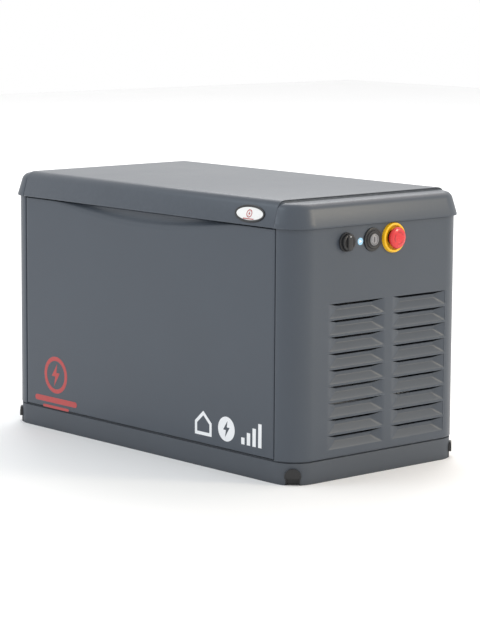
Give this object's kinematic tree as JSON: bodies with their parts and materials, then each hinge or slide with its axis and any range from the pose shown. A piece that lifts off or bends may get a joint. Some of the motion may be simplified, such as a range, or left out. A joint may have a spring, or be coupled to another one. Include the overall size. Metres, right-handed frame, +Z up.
{
  "type": "home standby generator",
  "caption": "Engine generator in a louvred grey weather enclosure with hinged roof, lift-off front, key switch and emergency stop.",
  "frame": {"origin": "on the ground, midway between the four anchor holes", "axes": "+X along the length towards the end with the controls, -Y out of the front panel, +Z up"},
  "size_m": [1.2458, 0.6672, 0.732],
  "materials": {
    "enclosure_paint": "fine-textured dark grey powder coat",
    "base_composite": "moulded composite in the enclosure's grey",
    "black_plastic": "moulded black plastic",
    "badge_face": "white face in a black bezel",
    "zinc_steel": "zinc plated",
    "cast_aluminium": "as cast",
    "black_paint": "satin black paint",
    "alternator_paint": "satin dark grey paint",
    "laminations": "varnished steel laminations",
    "rotor_winding": "varnished copper winding on a steel core",
    "flywheel_iron": "machined cast iron",
    "yellow_plastic": "yellow plastic",
    "red_plastic": "red plastic",
    "plug_ceramic": "white glazed insulator with a black boot",
    "filter_can": "white painted can",
    "filter_paper": "pleated paper in a foam seal",
    "insulation_foam": "open-cell acoustic foam",
    "exhaust_steel": "heat-tinted steel",
    "muffler_steel": "aluminised steel",
    "rubber": "black rubber",
    "battery_case": "moulded battery case",
    "cable": "red and black cable",
    "key_steel": "satin chrome lock core"
  },
  "bodies": {
    "enclosure": {"base_tray": "base_composite", "corner_caps": "black_plastic", "left_end_panel": "enclosure_paint", "right_end_panel": "enclosure_paint", "rear_panel": "enclosure_paint", "front_rail": "enclosure_paint", "hinge_fixed_leaves": "zinc_steel", "key_switch_body": "black_plastic", "estop_ring": "yellow_plastic", "estop_housing": "black_plastic", "crankcase": "cast_aluminium", "left_cylinder": "cast_aluminium", "right_cylinder": "cast_aluminium", "left_cylinder_head": "cast_aluminium", "right_cylinder_head": "cast_aluminium", "rocker_covers": "black_paint", "spark_plugs": "plug_ceramic", "blower_housing": "black_paint", "oil_filter": "filter_can", "starter_motor": "black_paint", "air_cleaner_body": "black_plastic", "air_filter": "filter_paper", "intake_manifold": "cast_aluminium", "fuel_regulator": "cast_aluminium", "fuel_line": "rubber", "alternator_housing": "alternator_paint", "alternator_stator": "laminations", "engine_mounts": "rubber", "exhaust_pipes": "exhaust_steel", "exhaust_bulkhead": "zinc_steel", "muffler": "muffler_steel", "battery_holder": "black_paint", "battery": "battery_case", "battery_cables": "cable", "connection_box": "alternator_paint", "control_box": "black_plastic", "control_fascia": "black_plastic"},
    "lid": {"roof_centre": "enclosure_paint", "roof_left_cap": "enclosure_paint", "roof_right_cap": "enclosure_paint", "roof_insulation": "insulation_foam", "badge": "badge_face", "hinge_lid_leaves": "zinc_steel", "latch_catches": "zinc_steel"},
    "front_door": {"front_panel": "enclosure_paint"},
    "right_latch": {"right_latch_knob": "black_plastic", "right_latch_cam": "zinc_steel"},
    "left_latch": {"left_latch_knob": "black_plastic", "left_latch_cam": "zinc_steel"},
    "key_core": {"key_cylinder": "key_steel"},
    "stop_stem": {"estop_plunger": "zinc_steel"},
    "stop_button": {"estop_head": "red_plastic"},
    "crank_group": {"crankshaft": "zinc_steel", "flywheel": "flywheel_iron", "alternator_rotor": "rotor_winding"},
    "starter_drive": {"starter_pinion": "zinc_steel"},
    "oil_dipstick": {"dipstick": "yellow_plastic"},
    "air_cover": {"air_cleaner_cover": "black_plastic"},
    "mode_rocker": {"mode_switch": "black_plastic"},
    "breaker_lever": {"breaker_toggle": "black_plastic"}
  },
  "joints": [
    {"name": "lid_hinge", "type": "hinge", "parent": "enclosure", "child": "lid", "pos_m": [0, 0.315, 0.656], "axis": [-1, 0, 0], "range_deg": [0, 100]},
    {"name": "front_panel_pull", "type": "slide", "parent": "enclosure", "child": "front_door", "axis": [0, -1, 0], "range_m": [0, 0.4]},
    {"name": "right_latch_turn", "type": "hinge", "parent": "enclosure", "child": "right_latch", "pos_m": [0.601, -0.131, 0.62], "axis": [-1, 0, 0], "range_deg": [0, 90]},
    {"name": "left_latch_turn", "type": "hinge", "parent": "enclosure", "child": "left_latch", "pos_m": [-0.601, -0.131, 0.62], "axis": [-1, 0, 0], "range_deg": [0, 90]},
    {"name": "key_turn", "type": "hinge", "parent": "enclosure", "child": "key_core", "pos_m": [0.601, -0.036, 0.62], "axis": [1, 0, 0], "range_deg": [0, 90]},
    {"name": "stop_push", "type": "slide", "parent": "enclosure", "child": "stop_stem", "axis": [-1, 0, 0], "range_m": [0, 0.004]},
    {"name": "stop_twist", "type": "hinge", "parent": "stop_stem", "child": "stop_button", "pos_m": [0.601, 0.039, 0.62], "axis": [-1, 0, 0], "range_deg": [0, 30]},
    {"name": "crankshaft_spin", "type": "hinge", "parent": "enclosure", "child": "crank_group", "pos_m": [-0.25, 0.05, 0.3], "axis": [0, 0, 1], "continuous": true},
    {"name": "starter_pinion_spin", "type": "hinge", "parent": "enclosure", "child": "starter_drive", "pos_m": [-0.25, 0.183, 0.36], "axis": [0, 0, 1], "continuous": true},
    {"name": "dipstick_pull", "type": "slide", "parent": "enclosure", "child": "oil_dipstick", "axis": [0, 0, 1], "range_m": [0, 0.2]},
    {"name": "air_cover_lift", "type": "slide", "parent": "enclosure", "child": "air_cover", "axis": [0, 0, 1], "range_m": [0, 0.1]},
    {"name": "mode_switch_rock", "type": "hinge", "parent": "enclosure", "child": "mode_rocker", "pos_m": [0.1557, -0.256, 0.45], "axis": [1, 0, 0], "range_deg": [-10, 10]},
    {"name": "breaker_throw", "type": "hinge", "parent": "enclosure", "child": "breaker_lever", "pos_m": [0.2807, -0.264, 0.45], "axis": [1, 0, 0], "range_deg": [0, 44]}
  ]
}
